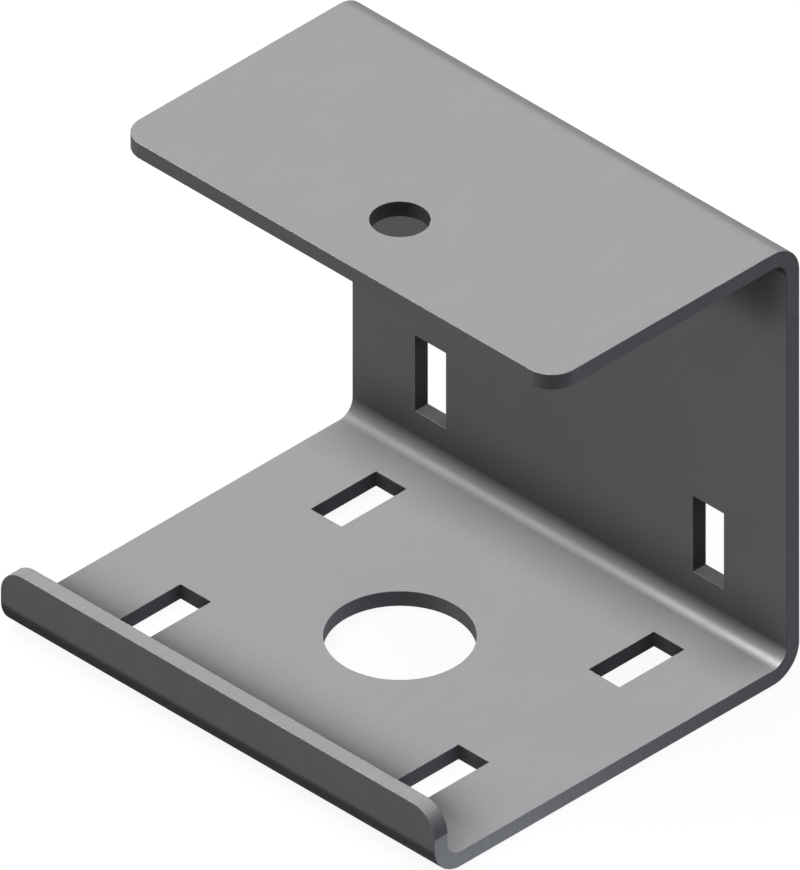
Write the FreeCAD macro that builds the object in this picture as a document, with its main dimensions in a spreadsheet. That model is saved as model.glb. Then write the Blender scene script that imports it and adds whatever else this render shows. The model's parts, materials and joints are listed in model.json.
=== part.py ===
import FreeCAD, Part
import os
import Sketcher

# A suspension bracket folded from one strip of steel sheet, open at both ends.
# Flange, web, base and lip follow one another round three equal bends. The bracket
# hangs on a rod through the flange, whose nut is reached through the large hole in
# the base, and the slots take the bolts of whatever the bracket carries.
# Frame: X runs along the bends, +Y points to the web and +Z up. The origin is on
# the underside of the base, on the common axis of the two round holes.

# Driving dimensions in millimetres: name, value, what it measures.
SIZES = (
    ("width", 100, "length of the bends, from one sheared end to the other"),
    ("depth", 84, "outer face of the web to outer face of the lip"),
    ("height", 86, "underside of the base to upper face of the flange"),
    ("sheet", 3, "thickness of the strip"),
    ("bend_radius", 3, "inside of each bend"),
    ("flange_overhang", 15, "axis of the round holes to free edge of the flange"),
    ("lip_height", 13, "underside of the base to free edge of the lip"),
    ("flange_corner_radius", 5, "free corners of the flange"),
    ("lip_corner_radius", 5, "free corners of the lip"),
    ("suspension_hole_diameter", 10, "rod hole in the flange"),
    ("access_hole_diameter", 25, "tool hole in the base, under the rod hole"),
    ("slot_width", 7, "each slot, along the bends"),
    ("slot_length", 15, "each slot, across the bends"),
    ("slot_end_distance", 18, "sheared end of the strip to middle of each slot"),
    ("slot_bend_distance", 6, "start of the bend to near end of a base slot"),
    ("web_slot_height", 18, "underside of the base to middle of a web slot"),
)

# Distances that follow from the driving dimensions.
BASE_SLOT_EDGE = "sizes.depth / 2 - sizes.sheet - sizes.bend_radius - sizes.slot_bend_distance"
BASE_SLOT_MIDDLE = BASE_SLOT_EDGE + " - sizes.slot_length / 2"
SLOT_OFFSET = "sizes.width / 2 - sizes.slot_end_distance"

# Two points nearer than this are the same point.
SAME_POINT = 0.001


def start_of(line):
    """The first point of a line or arc, as the sketches number it."""
    return line, 1


def end_of(line):
    return line, 2


def centre_of(arc):
    return arc, 3


# A sketch's own level axis, which starts at the origin.
LEVEL_AXIS = -1
ORIGIN = start_of(LEVEL_AXIS)


def make_sizes(doc):
    """The sheet of driving dimensions, with one named cell for each."""
    sizes = doc.addObject("Spreadsheet::Sheet", "sizes")
    for row, (name, value, meaning) in enumerate(SIZES, 1):
        sizes.set("A%d" % row, meaning)
        sizes.set("B%d" % row, str(value))
        sizes.setAlias("B%d" % row, name)
    doc.recompute()
    return sizes


def origin_plane(body, role):
    return next(plane for plane in body.Origin.OriginFeatures if plane.Role == role)


def add_sketch(body, name, role, lift="0"):
    """An empty sketch, the given distance in front of one of the body's own planes."""
    sketch = body.newObject("Sketcher::SketchObject", name)
    sketch.AttachmentSupport = [(origin_plane(body, role), "")]
    sketch.MapMode = "FlatFace"
    sketch.setExpression(".AttachmentOffset.Base.z", lift)
    return sketch


def add_polygon(sketch, corners):
    """A closed outline of level and upright lines, one from each corner to the next."""
    for number, start in enumerate(corners):
        end = corners[(number + 1) % len(corners)]
        sketch.addGeometry(Part.LineSegment(FreeCAD.Vector(*start), FreeCAD.Vector(*end)))
        direction = "Horizontal" if start[1] == end[1] else "Vertical"
        sketch.addConstraint(Sketcher.Constraint(direction, number))
    for number in range(len(corners)):
        following = (number + 1) % len(corners)
        sketch.addConstraint(Sketcher.Constraint("Coincident", *end_of(number), *start_of(following)))


def add_size(sketch, name, formula, kind, *places):
    """A named dimension of a sketch, whose value follows the sheet of sizes."""
    value = float(sketch.evalExpression(formula))
    number = sketch.addConstraint(Sketcher.Constraint(kind, *places, value))
    sketch.renameConstraint(number, name)
    sketch.setExpression("Constraints." + name, formula)


def round_end(sketch, line, radius):
    """Rounds the corner at the end of a line and gives the number of the new arc."""
    sketch.fillet(*end_of(line), radius, True, False)
    return sketch.GeometryCount - 1


def draw_side_profile(body, sizes):
    """The strip seen from its end, drawn sharp and then rounded at its bends."""
    sketch = add_sketch(body, "side_profile", "YZ_Plane")
    back, sheet, top = sizes.depth / 2, sizes.sheet, sizes.height
    free_edge, lip_top = -sizes.flange_overhang, sizes.lip_height
    outside = [(free_edge, top), (back, top), (back, 0), (-back, 0), (-back, lip_top)]
    inside = [
        (-back + sheet, lip_top),
        (-back + sheet, sheet),
        (back - sheet, sheet),
        (back - sheet, top - sheet),
        (free_edge, top - sheet),
    ]
    corners = outside + inside
    add_polygon(sketch, corners)
    flange_top, web_back, underside, lip_front, _ = range(len(outside))
    lip_back, base_top, web_front, _, flange_edge = range(len(outside), len(corners))

    bends = ((flange_top, web_front), (web_back, base_top), (underside, lip_back))
    inner_arcs = []
    for outer_line, inner_line in bends:
        outer = round_end(sketch, outer_line, sizes.bend_radius + sheet)
        inner = round_end(sketch, inner_line, sizes.bend_radius)
        sketch.addConstraint(Sketcher.Constraint("Coincident", *centre_of(outer), *centre_of(inner)))
        inner_arcs.append(inner)
    for arc in inner_arcs[1:]:
        sketch.addConstraint(Sketcher.Constraint("Equal", inner_arcs[0], arc))
    add_size(sketch, "bend_radius", "sizes.bend_radius", "Radius", inner_arcs[0])

    sketch.addConstraint(Sketcher.Constraint("PointOnObject", *start_of(underside), LEVEL_AXIS))
    web, lip, flange = start_of(web_back), end_of(lip_front), start_of(flange_top)
    add_size(sketch, "web_distance", "sizes.depth / 2", "DistanceX", *ORIGIN, *web)
    add_size(sketch, "depth", "sizes.depth", "DistanceX", *lip, *web)
    add_size(sketch, "height", "sizes.height", "DistanceY", *ORIGIN, *flange)
    add_size(sketch, "lip_height", "sizes.lip_height", "DistanceY", *ORIGIN, *lip)
    add_size(sketch, "overhang", "sizes.flange_overhang", "DistanceX", *flange, *ORIGIN)
    thickness = (*start_of(flange_edge), *end_of(flange_edge))
    add_size(sketch, "sheet", "sizes.sheet", "DistanceY", *thickness)
    return sketch


def fold_strip(body, sizes):
    """The folded strip, with square corners and no hole."""
    strip = body.newObject("PartDesign::Pad", "folded_strip")
    strip.Profile = draw_side_profile(body, sizes)
    strip.SideType = "Symmetric"
    strip.setExpression("Length", "sizes.width")


def edges_at(shape, middles):
    """The names of the edges whose middles are the given points."""
    names = []
    for number, edge in enumerate(shape.Edges, 1):
        middle = edge.valueAt((edge.FirstParameter + edge.LastParameter) / 2)
        if any(middle.distanceToPoint(point) < SAME_POINT for point in middles):
            names.append("Edge%d" % number)
    return names


def round_corners(body, name, width, y, z):
    """Rounds the corners of a wall's free edge, one at each end of the strip."""
    body.Document.recompute()
    strip = body.Tip
    middles = [FreeCAD.Vector(x, y, z) for x in (-width / 2, width / 2)]
    corners = body.newObject("PartDesign::Fillet", name)
    corners.Base = (strip, edges_at(strip.Shape, middles))
    corners.setExpression("Radius", "sizes.%s_radius" % name.rstrip("s"))


def draw_circle(body, sizes, name, lift, diameter):
    """A circle round the vertical axis."""
    sketch = add_sketch(body, name, "XY_Plane", lift)
    upright = FreeCAD.Vector(0, 0, 1)
    sketch.addGeometry(Part.Circle(FreeCAD.Vector(), upright, sizes.get(diameter) / 2))
    sketch.addConstraint(Sketcher.Constraint("Coincident", *centre_of(0), *ORIGIN))
    add_size(sketch, "diameter", "sizes." + diameter, "Diameter", 0)
    return sketch


def draw_slot(body, sizes, name, role, lift, middle):
    """A slot towards the +X end. The formula gives how far up the sketch its middle is."""
    sketch = add_sketch(body, name, role, lift)
    x, y = (float(sketch.evalExpression(formula)) for formula in (SLOT_OFFSET, middle))
    left, right = x - sizes.slot_width / 2, x + sizes.slot_width / 2
    low, high = y - sizes.slot_length / 2, y + sizes.slot_length / 2
    add_polygon(sketch, [(left, low), (right, low), (right, high), (left, high)])
    first, opposite = start_of(0), end_of(1)
    add_size(sketch, "slot_width", "sizes.slot_width", "DistanceX", *first, *opposite)
    add_size(sketch, "slot_length", "sizes.slot_length", "DistanceY", *first, *opposite)
    from_axis = SLOT_OFFSET + " - sizes.slot_width / 2"
    add_size(sketch, "from_axis", from_axis, "DistanceX", *ORIGIN, *first)
    from_level = middle + " - sizes.slot_length / 2"
    add_size(sketch, "from_level", from_level, "DistanceY", *ORIGIN, *first)
    return sketch


def punch(body, name, outline, along_normal):
    """A hole as deep as the sheet, from an outline on the outer face of a wall."""
    hole = body.newObject("PartDesign::Pocket", name)
    hole.Profile = outline
    hole.Reversed = along_normal
    hole.setExpression("Length", "sizes.sheet")
    return hole


def mirror(body, hole, roles):
    """Repeats a hole on the far side of each of the body's planes named."""
    pattern = body.newObject("PartDesign::MultiTransform", hole.Name + "s")
    pattern.Originals = [hole]
    mirrors = []
    for role in roles:
        across = body.newObject("PartDesign::Mirrored", hole.Name + "_mirrored")
        across.MirrorPlane = (origin_plane(body, role), [""])
        mirrors.append(across)
    pattern.Transformations = mirrors
    body.Tip = pattern


def make_bracket(doc, sizes):
    body = doc.addObject("PartDesign::Body", "bracket")
    body.Label = "bracket"
    body.Placement = FreeCAD.Placement()
    fold_strip(body, sizes)
    flange_middle = sizes.height - sizes.sheet / 2
    round_corners(body, "flange_corners", sizes.width, -sizes.flange_overhang, flange_middle)
    lip_middle = -sizes.depth / 2 + sizes.sheet / 2
    round_corners(body, "lip_corners", sizes.width, lip_middle, sizes.lip_height)

    rod = draw_circle(body, sizes, "rod_circle", "sizes.height", "suspension_hole_diameter")
    punch(body, "suspension_hole", rod, False)
    tool = draw_circle(body, sizes, "tool_circle", "0", "access_hole_diameter")
    punch(body, "access_hole", tool, True)
    base = draw_slot(body, sizes, "base_slot_outline", "XY_Plane", "0", BASE_SLOT_MIDDLE)
    mirror(body, punch(body, "base_slot", base, True), ["YZ_Plane", "XZ_Plane"])
    web_back = "-sizes.depth / 2"
    web = draw_slot(
        body, sizes, "web_slot_outline", "XZ_Plane", web_back, "sizes.web_slot_height"
    )
    mirror(body, punch(body, "web_slot", web, True), ["YZ_Plane"])
    return body


def check(doc, body):
    """Stops the build unless every step worked and left one sound solid."""
    for item in doc.Objects:
        if "Invalid" in item.State or "Error" in item.State:
            raise RuntimeError(item.Name + " could not be built")
    shape = body.Shape
    if shape.isNull() or not shape.isValid() or len(shape.Solids) != 1:
        raise RuntimeError("the bracket is not one sound solid")
    for step in body.Group:
        base = getattr(step, "BaseFeature", None)
        if base and step.Shape.Volume >= base.Shape.Volume:
            raise RuntimeError(step.Name + " took nothing off the strip")


def main():
    doc = FreeCAD.newDocument("suspension_bracket")
    sizes = make_sizes(doc)
    body = make_bracket(doc, sizes)
    doc.recompute()
    check(doc, body)
    os.makedirs("parts", exist_ok=True)
    body.Shape.exportStep("parts/%s.step" % body.Label)


main()
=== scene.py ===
"""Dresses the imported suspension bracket: one folded strip of zinc-coated steel on a pale floor.

The strip is drawn as a flat blank, cut out, its rims eased, and folded along its middle
surface, as the real bracket is made. Lengths are in metres, in the frame of the CAD part:
x runs along the bends, y from the lip to the web, z up, from the middle of the underside.
"""

import json
import math

import bmesh
import bpy
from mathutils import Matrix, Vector


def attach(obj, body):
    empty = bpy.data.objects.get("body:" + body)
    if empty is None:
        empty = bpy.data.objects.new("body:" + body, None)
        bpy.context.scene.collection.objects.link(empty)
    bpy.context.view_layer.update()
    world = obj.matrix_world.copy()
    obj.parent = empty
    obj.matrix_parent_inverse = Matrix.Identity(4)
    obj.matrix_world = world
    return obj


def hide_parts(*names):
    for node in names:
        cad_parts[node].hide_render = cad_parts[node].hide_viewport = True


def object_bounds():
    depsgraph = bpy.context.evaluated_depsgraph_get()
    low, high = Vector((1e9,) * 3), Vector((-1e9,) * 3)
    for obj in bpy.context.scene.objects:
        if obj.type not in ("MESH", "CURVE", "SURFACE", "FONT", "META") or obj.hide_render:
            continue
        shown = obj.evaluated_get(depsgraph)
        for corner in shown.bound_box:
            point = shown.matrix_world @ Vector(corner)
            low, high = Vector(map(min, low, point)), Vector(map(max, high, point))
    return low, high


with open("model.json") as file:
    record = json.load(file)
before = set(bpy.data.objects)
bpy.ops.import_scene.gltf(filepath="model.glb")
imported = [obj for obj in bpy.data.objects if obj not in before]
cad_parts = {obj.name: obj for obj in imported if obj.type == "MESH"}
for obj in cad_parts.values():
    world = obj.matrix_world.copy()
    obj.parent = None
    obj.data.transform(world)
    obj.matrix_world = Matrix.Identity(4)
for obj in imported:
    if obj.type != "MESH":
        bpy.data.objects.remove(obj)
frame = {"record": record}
CAD_BOX = [list(corner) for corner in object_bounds()]
LOW, HIGH = (Vector(corner) for corner in CAD_BOX)
MOUNTS = {mount["name"]: mount for mount in frame["record"]["mounts"]}

MILLIMETRE = 0.001
QUARTER_TURN = math.radians(90)

# The sheet and its folds
WIDTH, DEPTH, HEIGHT = HIGH - LOW
SHEET = MOUNTS["access_hole"]["dims"]["length_mm"] * MILLIMETRE
BEND_RADIUS = 3 * MILLIMETRE
FLANGE_OVERHANG = 15 * MILLIMETRE
LIP_HEIGHT = 13 * MILLIMETRE
FLANGE_CORNER_RADIUS = 5 * MILLIMETRE
LIP_CORNER_RADIUS = 5 * MILLIMETRE
SLOT_WIDTH, SLOT_LENGTH = 7 * MILLIMETRE, 15 * MILLIMETRE

OUTER_RADIUS = BEND_RADIUS + SHEET
MIDDLE_RADIUS = BEND_RADIUS + SHEET / 2
BEND_LENGTH = QUARTER_TURN * MIDDLE_RADIUS
FLANGE_FLAT = FLANGE_OVERHANG + DEPTH / 2 - OUTER_RADIUS
WEB_FLAT = HEIGHT - 2 * OUTER_RADIUS
BASE_FLAT = DEPTH - 2 * OUTER_RADIUS
LIP_FLAT = LIP_HEIGHT - OUTER_RADIUS
FLATS = (FLANGE_FLAT, WEB_FLAT, BASE_FLAT, LIP_FLAT)
BEND_STARTS = [sum(FLATS[:number]) + (number - 1) * BEND_LENGTH for number in range(1, len(FLATS))]
TOP_BEND, WEB_FOOT_BEND, LIP_BEND = BEND_STARTS
BLANK_LENGTH = sum(FLATS) + len(BEND_STARTS) * BEND_LENGTH

# How finely the blank is divided
CORNER_STEPS = 16
HOLE_STEPS = 96
BEND_ROWS = 20
RIM = 0.1 * MILLIMETRE
RIM_STEPS = 3
SMOOTH_ANGLE = math.radians(50)
SAME_PLACE = 1e-7
LEVEL_FACE = 0.5

# The photograph's view: isometric, with no perspective
IMAGE_HEIGHT = 870
PIXELS_PER_METRE = 6141.3
AIM_HEIGHT = 0.04296
CAMERA_DISTANCE = 0.6
NEAREST_SEEN = 0.01
TOWARDS_CAMERA = Vector((1, -1, 1)).normalized()


def arc(centre, radius, start, turn, steps):
    """Points of an arc in the blank's plane, both ends included."""
    x, y = centre
    angles = (start + turn * step / steps for step in range(steps + 1))
    return [Vector((x + radius * math.cos(a), y + radius * math.sin(a), 0)) for a in angles]


def blank_outline():
    """The strip's outline, with the flange's and the lip's corners rounded."""
    side = WIDTH / 2
    corners = (
        (-1, FLANGE_CORNER_RADIUS, FLANGE_CORNER_RADIUS),
        (1, FLANGE_CORNER_RADIUS, FLANGE_CORNER_RADIUS),
        (1, LIP_CORNER_RADIUS, BLANK_LENGTH - LIP_CORNER_RADIUS),
        (-1, LIP_CORNER_RADIUS, BLANK_LENGTH - LIP_CORNER_RADIUS),
    )
    points = []
    for number, (hand, radius, along) in enumerate(corners):
        start = math.pi + number * QUARTER_TURN
        points += arc((hand * (side - radius), along), radius, start, QUARTER_TURN, CORNER_STEPS)
    return points


def round_hole(across, along, mount):
    radius = mount["dims"]["r_mm"] * MILLIMETRE
    return arc((across, along), radius, 0, math.tau, HOLE_STEPS)[:-1]


def slot(across, along):
    """A rectangular slot, its long side along the strip."""
    corners = ((-1, -1), (1, -1), (1, 1), (-1, 1))
    half_width, half_length = SLOT_WIDTH / 2, SLOT_LENGTH / 2
    return [Vector((across + i * half_width, along + j * half_length, 0)) for i, j in corners]


def along_flange(y):
    return FLANGE_FLAT - (DEPTH / 2 - OUTER_RADIUS - y)


def along_web(z):
    return FLANGE_FLAT + BEND_LENGTH + (HEIGHT - OUTER_RADIUS - z)


def along_base(y):
    return FLANGE_FLAT + WEB_FLAT + 2 * BEND_LENGTH + (DEPTH / 2 - OUTER_RADIUS - y)


def openings():
    """Outlines of the two round holes, the four slots of the base and the two of the web."""
    rod, socket = MOUNTS["suspension_hole"], MOUNTS["access_hole"]
    base, web = MOUNTS["base_slots"], MOUNTS["web_slots"]
    base_x = base["dims"]["spacing_x_mm"] * MILLIMETRE / 2
    base_y = base["dims"]["spacing_y_mm"] * MILLIMETRE / 2
    web_x = web["dims"]["spacing_x_mm"] * MILLIMETRE / 2
    outlines = [
        round_hole(rod["pos_m"][0], along_flange(rod["pos_m"][1]), rod),
        round_hole(socket["pos_m"][0], along_base(socket["pos_m"][1]), socket),
    ]
    for hand in (-1, 1):
        for end in (-1, 1):
            outlines.append(slot(hand * base_x, along_base(end * base_y)))
        outlines.append(slot(hand * web_x, along_web(web["pos_m"][2])))
    return outlines


def add_loop(mesh, points):
    corners = [mesh.verts.new(point) for point in points]
    return [mesh.edges.new(pair) for pair in zip(corners, corners[1:] + corners[:1])]


def thicken(mesh):
    """Gives the flat outline the sheet's thickness, half of it on each side of the middle."""
    raised = bmesh.ops.extrude_face_region(mesh, geom=mesh.faces[:])["geom"]
    for item in mesh.verts:
        item.co.z = -SHEET / 2
    for item in raised:
        if isinstance(item, bmesh.types.BMVert):
            item.co.z = SHEET / 2
    bmesh.ops.recalc_face_normals(mesh, faces=mesh.faces[:])


def ease_rims(mesh):
    """Rounds every rim between a face of the sheet and its cut edge by a hair."""
    def is_rim(edge):
        level = [abs(face.normal.z) > LEVEL_FACE for face in edge.link_faces]
        return len(level) == 2 and level[0] != level[1]

    rims = [edge for edge in mesh.edges if is_rim(edge)]
    bmesh.ops.bevel(mesh, geom=rims, offset=RIM, segments=RIM_STEPS, profile=0.5, affect="EDGES")


def divide_bends(mesh):
    """Cuts rows across the strip where it's going to bend."""
    for start in BEND_STARTS:
        for row in range(BEND_ROWS + 1):
            cut = {"plane_co": (0, start + BEND_LENGTH * row / BEND_ROWS, 0), "plane_no": (0, 1, 0)}
            everything = mesh.verts[:] + mesh.edges[:] + mesh.faces[:]
            bmesh.ops.bisect_plane(mesh, geom=everything, dist=SAME_PLACE, **cut)


def middle_line(along):
    """Where the sheet's middle surface is after folding, and how far the sheet has turned there."""
    y, z, turn = -FLANGE_OVERHANG, HEIGHT - SHEET / 2, 0
    for flat in FLATS:
        step = min(along, flat)
        y += step * math.cos(turn)
        z -= step * math.sin(turn)
        along -= step
        bend = max(0, min(along, BEND_LENGTH))
        turned = turn + bend / MIDDLE_RADIUS
        y += MIDDLE_RADIUS * (math.sin(turned) - math.sin(turn))
        z += MIDDLE_RADIUS * (math.cos(turned) - math.cos(turn))
        along -= bend
        turn = turned
        if along <= SAME_PLACE:
            break
    return y, z, turn


def fold(mesh):
    """Folds the blank, and keeps each point's place on the blank as the attribute `blank`."""
    blank = mesh.verts.layers.float_vector.new("blank")
    for point in mesh.verts:
        point[blank] = point.co
        x, along, outward = point.co
        y, z, turn = middle_line(along)
        point.co = (x, y + outward * math.sin(turn), z + outward * math.cos(turn))


def folded_sheet():
    """The whole bracket as one mesh."""
    shape = bmesh.new()
    edges = add_loop(shape, blank_outline())
    for points in openings():
        edges += add_loop(shape, points)
    bmesh.ops.triangle_fill(shape, edges=edges, use_beauty=True)
    thicken(shape)
    ease_rims(shape)
    divide_bends(shape)
    fold(shape)
    mesh = bpy.data.meshes.new("folded_sheet")
    shape.to_mesh(mesh)
    shape.free()
    mesh.shade_smooth()
    mesh.set_sharp_from_angle(angle=SMOOTH_ANGLE)
    sheet = bpy.data.objects.new("folded_sheet", mesh)
    bpy.context.scene.collection.objects.link(sheet)
    normals = sheet.modifiers.new("flat_faces_stay_flat", "WEIGHTED_NORMAL")
    normals.keep_sharp = True
    return sheet


# The steel: its colour, how much of that is metallic, and how much where the bend is rubbed most
STEEL = (0.39, 0.3888, 0.4)
METAL = 0.03
RUBBED_METAL = 0.066
RUBBED_FROM = -10 * MILLIMETRE
ROUGHNESSES = (0.42, 0.5)
CUT_ROUGHNESS = 0.08

# Noise: how long its lumps are, in millimetres across, along and through the blank
GRAIN = {"lumps": (0.35, 9, 0.35), "detail": 3.0}
BLOOM = {"lumps": (14, 20, 14), "detail": 4.0}
SATIN = {"lumps": (0.5, 0.5, 0.5), "detail": 2.0}
SHEAR = {"lumps": (0.3, 0.3, 8), "detail": 3.0}
WEAR = {"lumps": (3, 3, 3), "detail": 5.0}

# The part of each noise that is used, and the tones that the bloom and the grain give
NOISE_USED = (0.3, 0.7)
SHEAR_USED = (0.35, 0.65)
WEAR_USED = (0.4, 0.65)
BLOOM_TONES = (0.99, 1.008)
GRAIN_TONES = (0.988, 1.012)

# The bumps: how high, how strong, and the satin's share of them
RELIEF = 0.02 * MILLIMETRE
RELIEF_STRENGTH = 0.35
SATIN_SHARE = 0.6

# Where a face of the sheet starts, as shares of the half thickness: both are on the eased rim
FACE_EDGE, FACE_FULL = 0.96, 0.995

# Painted shade in the hollows, from their occlusion: how much darker they are, where a power of 0
# is no darker, and the darkest that any gets
HOLLOW_REACH = 14 * MILLIMETRE
HOLLOW_SAMPLES = 16
BASE_HOLLOW_POWER = 1.2
WEB_HOLLOW_POWER = 1.5
DARKEST_HOLLOW = 0.25

# The same painted shade for the walls of the openings, where the base's are darker at the back than
# in front
FLANGE_CUT_POWER = 3.4
WEB_CUT_POWER = 5.8
BACK_CUT_POWER, FRONT_CUT_POWER = 3.8, 2.9
CUT_BACK, CUT_FRONT = 12 * MILLIMETRE, -25 * MILLIMETRE

# The painted shade is lighter on the walls nearest the -X end: over which x, and the share of the
# power there
LEFT_CUT, LEFT_CUT_END = -36 * MILLIMETRE, -30 * MILLIMETRE
LEFT_CUT_SHARE = 0.72

# Painted shade in the trough behind the lip, fading out towards the +X end, over y and over x
LIP_SHADE_EDGE, LIP_SHADE_FULL = -15 * MILLIMETRE, -30 * MILLIMETRE
LIP_SHADE_POWER = 2.5
LIP_SHADE_TONE = 0.34
SHADE_FADES_FROM, SHADE_GONE_AT = 34 * MILLIMETRE, 52 * MILLIMETRE

# The same painted shade round the inside of the top bend, over z and over x
TOP_SHADE_EDGE, TOP_SHADE_FULL = 61 * MILLIMETRE, 76 * MILLIMETRE
TOP_SHADE_TONE = 0.45
TOP_SHADE_FADES_FROM, TOP_SHADE_GONE_AT = 42 * MILLIMETRE, 56 * MILLIMETRE

# Painted shade: how dark it makes the crease of the bend between web and base, the outer faces of
# the bends, and the lip's +X corner
CREASE_SHADE_TONE = 0.78
OUTER_BEND_SHADE_TONE = 0.8
LIP_CORNER_SHADE_TONE = 0.44

# Where the painted shade in the crease, the rubbed metal and the painted shade on the lip's corner
# are at their full, as shares of the bend and of the corner's radius
CREASE_SHADED = (0.2, 0.55)
RUBBED = (0.4, 0.9)
LIP_CORNER_SHADED = 0.7

# Shear marks through the thickness of the cut edges, and the rims where the coating is worn thin
SHEAR_TONE = 0.93
WORN_TONE = 1.12
WORN_GLOSS = 0.1


class Nodes:
    """A short way to add and join the nodes of a material or the world."""

    def __init__(self, owner):
        owner.use_nodes = True
        self.tree = owner.node_tree
        self.tree.nodes.clear()

    def add(self, kind, inputs=None, **settings):
        node = self.tree.nodes.new("ShaderNode" + kind)
        for name, value in settings.items():
            setattr(node, name, value)
        for name, value in (inputs or {}).items():
            self.set(node.inputs[name], value)
        return node

    def set(self, socket, value):
        if isinstance(value, bpy.types.NodeSocket):
            self.tree.links.new(value, socket)
        else:
            socket.default_value = value

    def math(self, operation, *values):
        node = self.add("Math", operation=operation)
        for socket, value in zip(node.inputs, values):
            self.set(socket, value)
        return node.outputs[0]

    def product(self, first, *others):
        for other in others:
            first = self.math("MULTIPLY", first, other)
        return first

    def ramp(self, value, start, end, low=0.0, high=1.0):
        """Goes smoothly from low at start to high at end."""
        places = {
            "Value": value,
            "From Min": start,
            "From Max": end,
            "To Min": low,
            "To Max": high,
        }
        return self.add("MapRange", places, interpolation_type="SMOOTHSTEP").outputs["Result"]

    def fade(self, mask, tone):
        """1 where the mask is 0, and the tone where it's 1."""
        return self.ramp(mask, 0, 1, 1, tone)


class StripNodes(Nodes):
    """Nodes that know a point's place on the blank, and which face of the sheet it's on."""

    def __init__(self, owner):
        super().__init__(owner)
        self.place = self.add("Attribute", attribute_name="blank").outputs["Vector"]
        self.across, self.along, self.outward = self.add("SeparateXYZ", {0: self.place}).outputs
        height = self.math("DIVIDE", self.outward, SHEET / 2)
        self.outer = self.ramp(height, FACE_EDGE, FACE_FULL)
        self.inner = self.ramp(height, -FACE_EDGE, -FACE_FULL)
        self.cut = self.ramp(self.math("ABSOLUTE", height), FACE_FULL, FACE_EDGE)
        self.grain = self.noise(**GRAIN)

    def noise(self, lumps, detail):
        scale = [1 / (length * MILLIMETRE) for length in lumps]
        scaled = self.add("VectorMath", {0: self.place, 1: scale}, operation="MULTIPLY")
        inputs = {"Vector": scaled.outputs[0], "Scale": 1.0, "Detail": detail}
        return self.add("TexNoise", inputs).outputs["Fac"]

    def within(self, start, full, last, end):
        """Rises from start to full along the strip, and falls again from last to end."""
        return self.product(self.ramp(self.along, start, full), self.ramp(self.along, end, last))


def bend_span(start):
    return start, start + BEND_LENGTH


def wall_shade_power(strip):
    """How strong the painted shade on the openings' walls is: the web's the most, those at the
    base's front the least.
    """
    base = (along_base(CUT_BACK), along_base(CUT_FRONT))
    power = strip.ramp(strip.along, *bend_span(TOP_BEND), FLANGE_CUT_POWER, WEB_CUT_POWER)
    power = strip.ramp(strip.along, *bend_span(WEB_FOOT_BEND), power, BACK_CUT_POWER)
    power = strip.ramp(strip.along, *base, power, FRONT_CUT_POWER)
    share = strip.ramp(strip.across, LEFT_CUT, LEFT_CUT_END, LEFT_CUT_SHARE, 1.0)
    return strip.product(strip.cut, power, share)


def painted_hollow_shade(strip):
    """Painted shade in the hollows, from their occlusion: the base's the least, then the web's,
    then the openings' walls.
    """
    foot = bend_span(WEB_FOOT_BEND)
    face_power = strip.ramp(strip.along, *foot, WEB_HOLLOW_POWER, BASE_HOLLOW_POWER)
    power = strip.math("MAXIMUM", face_power, wall_shade_power(strip))
    reach = {"Distance": HOLLOW_REACH}
    occlusion = strip.add("AmbientOcclusion", reach, samples=HOLLOW_SAMPLES, only_local=True)
    tone = strip.math("POWER", occlusion.outputs["AO"], power)
    return strip.math("MAXIMUM", tone, DARKEST_HOLLOW)


def coating_tone(strip):
    """Cloudy zinc over the grain that rolling left."""
    bloom = strip.ramp(strip.noise(**BLOOM), *NOISE_USED, *BLOOM_TONES)
    grain = strip.ramp(strip.grain, *NOISE_USED, *GRAIN_TONES)
    return strip.math("MULTIPLY", bloom, grain)


def painted_lip_shade(strip):
    """Painted shade on the inner face, darker towards the lip and fading out at the +X end."""
    edge, full = along_base(LIP_SHADE_EDGE), along_base(LIP_SHADE_FULL)
    places = {"Value": strip.along, "From Min": edge, "From Max": full}
    nearness = strip.add("MapRange", places).outputs["Result"]
    thickness = strip.math("POWER", nearness, LIP_SHADE_POWER)
    below_lip = strip.ramp(strip.along, BLANK_LENGTH - LIP_FLAT / 2, LIP_BEND + BEND_LENGTH / 2)
    shaded_across = strip.ramp(strip.across, SHADE_GONE_AT, SHADE_FADES_FROM)
    lip_shade = strip.product(thickness, below_lip, shaded_across, strip.inner)
    return strip.math("SUBTRACT", 1.0, strip.math("MULTIPLY", lip_shade, 1 - LIP_SHADE_TONE))


def painted_top_bend_shade(strip):
    """The same painted shade round the inside of the top bend."""
    web_full, web_edge = along_web(TOP_SHADE_FULL), along_web(TOP_SHADE_EDGE)
    round_bend = strip.within(TOP_BEND - HOLLOW_REACH, TOP_BEND, web_full, web_edge)
    shaded_across = strip.ramp(strip.across, TOP_SHADE_GONE_AT, TOP_SHADE_FADES_FROM)
    return strip.fade(strip.product(round_bend, shaded_across, strip.inner), TOP_SHADE_TONE)


def in_web_foot(strip, full, last):
    """1 on the inner face between two shares of the bend between web and base."""
    full, last = (WEB_FOOT_BEND + share * BEND_LENGTH for share in (full, last))
    mask = strip.within(WEB_FOOT_BEND, full, last, WEB_FOOT_BEND + BEND_LENGTH)
    return strip.math("MULTIPLY", mask, strip.inner)


def painted_crease_shade(strip):
    """Painted shade in the crease of the inner bend between web and base, fainter towards the +X
    end.
    """
    shaded_across = strip.ramp(strip.across, SHADE_GONE_AT, SHADE_FADES_FROM)
    return strip.fade(strip.math("MULTIPLY", in_web_foot(strip, *CREASE_SHADED), shaded_across), CREASE_SHADE_TONE)


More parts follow.
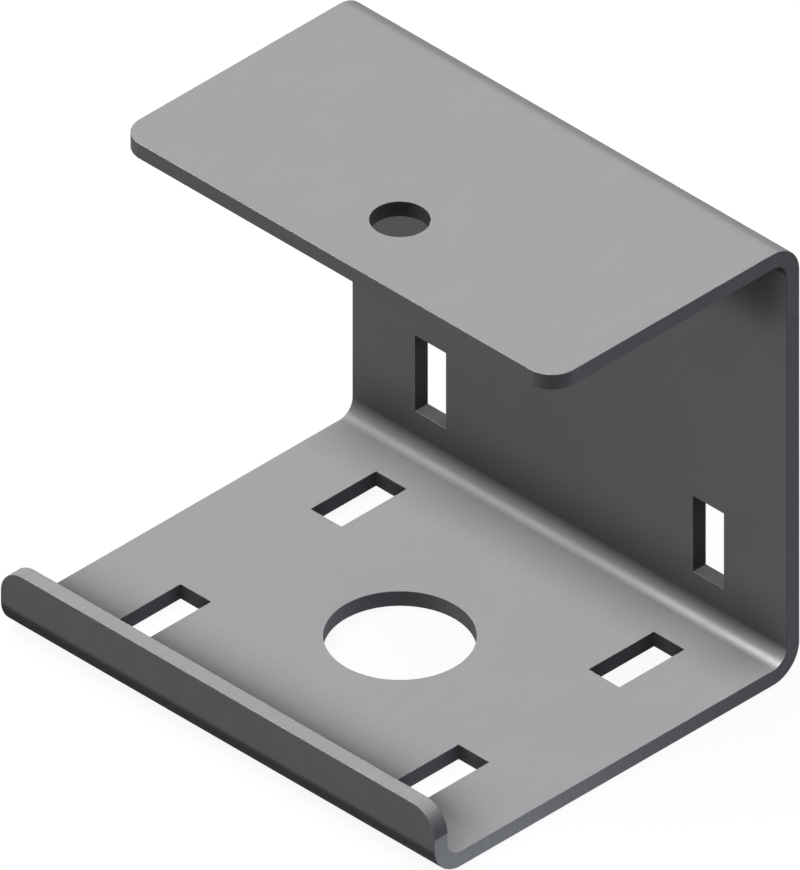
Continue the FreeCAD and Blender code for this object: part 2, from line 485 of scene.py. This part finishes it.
def metal(strip):
    """The folding tool rubbed the inside of the bend between web and base, most at the +X end."""
    end = strip.ramp(strip.across, RUBBED_FROM, WIDTH / 2)
    rubbed = strip.math("MULTIPLY", in_web_foot(strip, *RUBBED), end)
    return strip.ramp(rubbed, 0, 1, METAL, RUBBED_METAL)


def painted_outer_bend_shade(strip):
    """Painted shade on the outer face of each bend."""
    bent, rise = 0.0, BEND_LENGTH / 4
    for start in BEND_STARTS:
        end = start + BEND_LENGTH
        bent = strip.math("ADD", strip.within(start, start + rise, end - rise, end), bent)
    return strip.fade(strip.math("MULTIPLY", bent, strip.outer), OUTER_BEND_SHADE_TONE)


def painted_lip_corner_shade(strip):
    """Painted shade on the cut wall of the lip's rounded corner at the +X end, down to where the
    sheared end starts.
    """
    side = WIDTH / 2
    rounded = strip.ramp(strip.across, side - LIP_CORNER_SHADED * LIP_CORNER_RADIUS, side)
    beside_end = strip.math("LESS_THAN", strip.across, side - SAME_PLACE)
    at_lip = strip.math("GREATER_THAN", strip.along, BLANK_LENGTH - LIP_CORNER_RADIUS)
    return strip.fade(strip.product(rounded, beside_end, at_lip, strip.cut), LIP_CORNER_SHADE_TONE)


def shear_marks(strip):
    return strip.math("MULTIPLY", strip.cut, strip.ramp(strip.noise(**SHEAR), *SHEAR_USED))


def worn_rims(strip):
    """Patches along the eased rims."""
    rim = strip.product(4.0, strip.cut, strip.math("SUBTRACT", 1.0, strip.cut))
    return strip.math("MULTIPLY", rim, strip.ramp(strip.noise(**WEAR), *WEAR_USED))


def roughness(strip, worn):
    grained = strip.ramp(strip.grain, *NOISE_USED, *ROUGHNESSES)
    with_cuts = strip.math("ADD", grained, strip.math("MULTIPLY", strip.cut, CUT_ROUGHNESS))
    return strip.math("SUBTRACT", with_cuts, strip.math("MULTIPLY", worn, WORN_GLOSS))


def relief(strip, sheared):
    """Bumps of the grain, of a fine satin over it, and of the shear marks."""
    satin = strip.math("MULTIPLY", strip.noise(**SATIN), SATIN_SHARE)
    height = strip.math("ADD", strip.math("ADD", strip.grain, satin), sheared)
    bumps = {"Height": height, "Strength": RELIEF_STRENGTH, "Distance": RELIEF}
    return strip.add("Bump", bumps).outputs[0]


def steel():
    """Satin zinc-coated steel with sheared edges that are rougher and darker, from shear marks and
    painted shade, and painted shade in its hollows and bends.
    """
    material = bpy.data.materials.new("zinc_coated_steel")
    strip = StripNodes(material)
    sheared, worn = shear_marks(strip), worn_rims(strip)
    # The tone is painted shade in the hollows, the trough, the top bend, the crease, the outer
    # bends and the lip's corner, times the coating's own bloom, grain, shear marks and worn rims.
    tone = strip.product(
        painted_hollow_shade(strip),
        coating_tone(strip),
        painted_lip_shade(strip),
        painted_top_bend_shade(strip),
        painted_crease_shade(strip),
        painted_outer_bend_shade(strip),
        painted_lip_corner_shade(strip),
        strip.fade(sheared, SHEAR_TONE),
        strip.fade(worn, WORN_TONE),
    )
    colour = strip.add("VectorMath", {0: STEEL, "Scale": tone}, operation="SCALE").outputs[0]
    inputs = {
        "Base Color": colour,
        "Metallic": metal(strip),
        "Roughness": roughness(strip, worn),
        "Specular IOR Level": 0.0,
        "Normal": relief(strip, sheared),
    }
    surface = strip.add("BsdfPrincipled", inputs)
    strip.add("OutputMaterial", {"Surface": surface.outputs[0]})
    return material


# The light of the sky, in units where a level of 1 renders a face's colour as it is written
DOME = 0.015

# The suns on the bracket, in the same units: where each comes from and how wide it is
SUNS = {
    "key": {"place": (-0.22, -0.14, 1.0), "level": 0.952, "spread": math.radians(10)},
    "front": {"place": (-0.4, -0.92, 0.0), "level": 0.037},
    "side": {"place": (0.82, 0.57, 0.0), "level": 0.079, "colour": (0.8, 0.78, 1.0)},
    "back": {"place": (0.3, 0.95, -0.25), "level": 0.15},
    "left": {"place": (-0.95, 0.3, -0.2), "level": 0.1},
}
SUN_SPREAD = math.radians(30)

# A sun that only the gloss shows, as the streak along the bend between web and base
STREAK = 12.5
STREAK_FROM = (-0.577, -0.19, 0.794)

# A small lamp low in front of the +X end, as the glow on the end's lower corner
END_GLOW = {
    "place": (0.105, -0.036, -0.022),
    "aim": (0, -0.069, 0.015),
    "energy": 0.0135,
    "size": 0.02,
    "color": (0.85, 0.92, 1.0),
}

# The floor: the sun that casts the bracket's shadow on it, what it shows, and what it passes on
FLOOR_SUN_SPREAD = math.radians(70)
FLOOR_GLOW = 0.92
FLOOR_WHITE = 0.11
FLOOR_BOUNCE = 0.05
FLOOR_SIZE = 6
FLOOR_GAP = 0.1 * MILLIMETRE


def seen_directly(nodes):
    """1 for the rays that show the background: camera, glossy and transmission rays."""
    path = nodes.add("LightPath")
    kinds = ("Is Camera Ray", "Is Glossy Ray", "Is Transmission Ray")
    first, second, third = (path.outputs[kind] for kind in kinds)
    return nodes.math("MAXIMUM", first, nodes.math("MAXIMUM", second, third))


def grey(level):
    return (level, level, level, 1)


def make_world():
    """White behind everything, and a weak even dome as the light that it gives."""
    world = bpy.data.worlds.new("studio")
    bpy.context.scene.world = world
    nodes = Nodes(world)
    white = nodes.add("Background", {"Color": grey(1), "Strength": 1.0})
    dome = nodes.add("Background", {"Color": grey(1), "Strength": DOME})
    shown = {0: seen_directly(nodes), 1: dome.outputs[0], 2: white.outputs[0]}
    nodes.add("OutputWorld", {"Surface": nodes.add("MixShader", shown).outputs[0]})


def pale_floor():
    """White to look at, with a soft shadow, and dim as a source of light."""
    material = bpy.data.materials.new("pale_floor")
    nodes = Nodes(material)
    pale = nodes.add("BsdfDiffuse", {"Color": grey(FLOOR_WHITE)})
    glow = nodes.add("Emission", {"Color": grey(1), "Strength": FLOOR_GLOW})
    white = nodes.add("AddShader", {0: pale.outputs[0], 1: glow.outputs[0]})
    dim = nodes.add("BsdfDiffuse", {"Color": grey(FLOOR_BOUNCE)})
    shown = {0: seen_directly(nodes), 1: dim.outputs[0], 2: white.outputs[0]}
    nodes.add("OutputMaterial", {"Surface": nodes.add("MixShader", shown).outputs[0]})
    return material


def make_floor():
    bpy.ops.mesh.primitive_plane_add(size=FLOOR_SIZE, location=(0, 0, -FLOOR_GAP))
    floor = bpy.context.object
    floor.name = "floor"
    floor.data.materials.append(pale_floor())
    return floor


def add_light(name, kind, lit, place, energy, aim=(0, 0, 0), **settings):
    """A lamp at place, or a sun shining from there, aimed at a point. It lights one object."""
    light = bpy.data.lights.new(name, kind)
    light.energy = energy
    for setting, value in settings.items():
        setattr(light, setting, value)
    lamp = bpy.data.objects.new(name, light)
    lamp.location = place
    lamp.rotation_euler = (Vector(place) - Vector(aim)).to_track_quat("Z", "Y").to_euler()
    lamp.visible_camera = False
    receivers = bpy.data.collections.new(name + "_lights")
    receivers.objects.link(lit)
    lamp.light_linking.receiver_collection = receivers
    bpy.context.scene.collection.objects.link(lamp)
    return lamp


def add_plain_light(name, kind, sheet, place, energy, **settings):
    """A lamp that casts no shadow on the sheet and isn't passed on from face to face."""
    lamp = add_light(name, kind, sheet, place, energy, use_shadow=False, **settings)
    lamp.data.cycles.max_bounces = 0
    return lamp


def add_sun(name, sheet, place, level, spread=SUN_SPREAD, colour=(1, 1, 1)):
    add_plain_light(name, "SUN", sheet, place, math.pi * level, angle=spread, color=colour)


def make_lights(sheet, floor):
    for name, sun in SUNS.items():
        add_sun(name, sheet, **sun)
    streak = add_plain_light("streak", "SUN", sheet, STREAK_FROM, STREAK, angle=SUN_SPREAD)
    streak.visible_diffuse = False
    add_plain_light("end_glow", "AREA", sheet, **END_GLOW)
    place, strength = SUNS["key"]["place"], math.pi * SUNS["key"]["level"]
    add_light("floor_key", "SUN", floor, place, strength, angle=FLOOR_SUN_SPREAD)


def make_camera():
    camera = bpy.data.cameras.new("camera")
    camera.type = "ORTHO"
    camera.ortho_scale = IMAGE_HEIGHT / PIXELS_PER_METRE
    camera.clip_start = NEAREST_SEEN
    view = bpy.data.objects.new("camera", camera)
    view.location = Vector((0, 0, AIM_HEIGHT)) + CAMERA_DISTANCE * TOWARDS_CAMERA
    view.rotation_euler = (-TOWARDS_CAMERA).to_track_quat("-Z", "Y").to_euler()
    bpy.context.scene.collection.objects.link(view)
    bpy.context.scene.camera = view


def dress_bracket():
    sheet = folded_sheet()
    sheet.data.materials.append(steel())
    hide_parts("bracket")
    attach(sheet, "root")
    return sheet


make_world()
make_lights(dress_bracket(), make_floor())
make_camera()
bpy.context.scene.view_settings.view_transform = "Standard"
